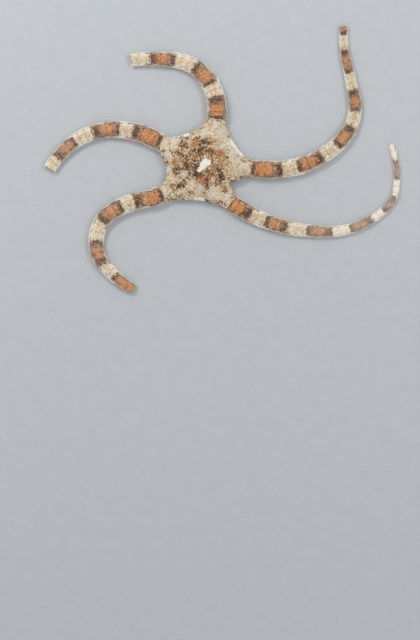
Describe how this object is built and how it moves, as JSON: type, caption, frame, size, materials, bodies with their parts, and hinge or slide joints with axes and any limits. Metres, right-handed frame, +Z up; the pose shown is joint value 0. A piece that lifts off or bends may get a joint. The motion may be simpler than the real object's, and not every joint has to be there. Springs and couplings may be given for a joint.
{
  "type": "brittle star",
  "caption": "Flat brittle star with a round granular disc and long banded arms edged with short spines, lying dorsal side up with its arms swept in curves.",
  "frame": {"origin": "on the floor, under the middle of the whole animal's box; the middle of the mouth is 5.92 mm towards -X and 1.55 mm towards -Y of it", "axes": "+Z is up out of the dorsal side, +X is to the right and +Y is up the picture's upper view of the animal"},
  "size_m": [0.1068, 0.08, 0.0055],
  "materials": {
    "disc_skin": "matt granular skin, beige with dark brown mottling and a few orange spots",
    "arm_plates": "matt limy plates, cream with orange and purple-grey bands edged in dark brown",
    "jaw_plate": "matt ivory plate"
  },
  "bodies": {
    "root": {"disc": "disc_skin", "arm_1_length_1": "arm_plates", "arm_1_length_2": "arm_plates", "arm_1_length_3": "arm_plates", "arm_1_length_4": "arm_plates", "arm_1_length_5": "arm_plates", "arm_2_length_1": "arm_plates", "arm_2_length_2": "arm_plates", "arm_2_length_3": "arm_plates", "arm_3_length_1": "arm_plates", "arm_3_length_2": "arm_plates", "arm_3_length_3": "arm_plates", "arm_4_length_1": "arm_plates", "arm_4_length_2": "arm_plates", "arm_4_length_3": "arm_plates", "arm_4_length_4": "arm_plates", "arm_5_length_1": "arm_plates", "arm_5_length_2": "arm_plates", "arm_5_length_3": "arm_plates", "arm_5_length_4": "arm_plates", "arm_5_length_5": "arm_plates", "jaw_1": "jaw_plate", "jaw_2": "jaw_plate", "jaw_3": "jaw_plate", "jaw_4": "jaw_plate", "jaw_5": "jaw_plate"}
  },
  "joints": []
}
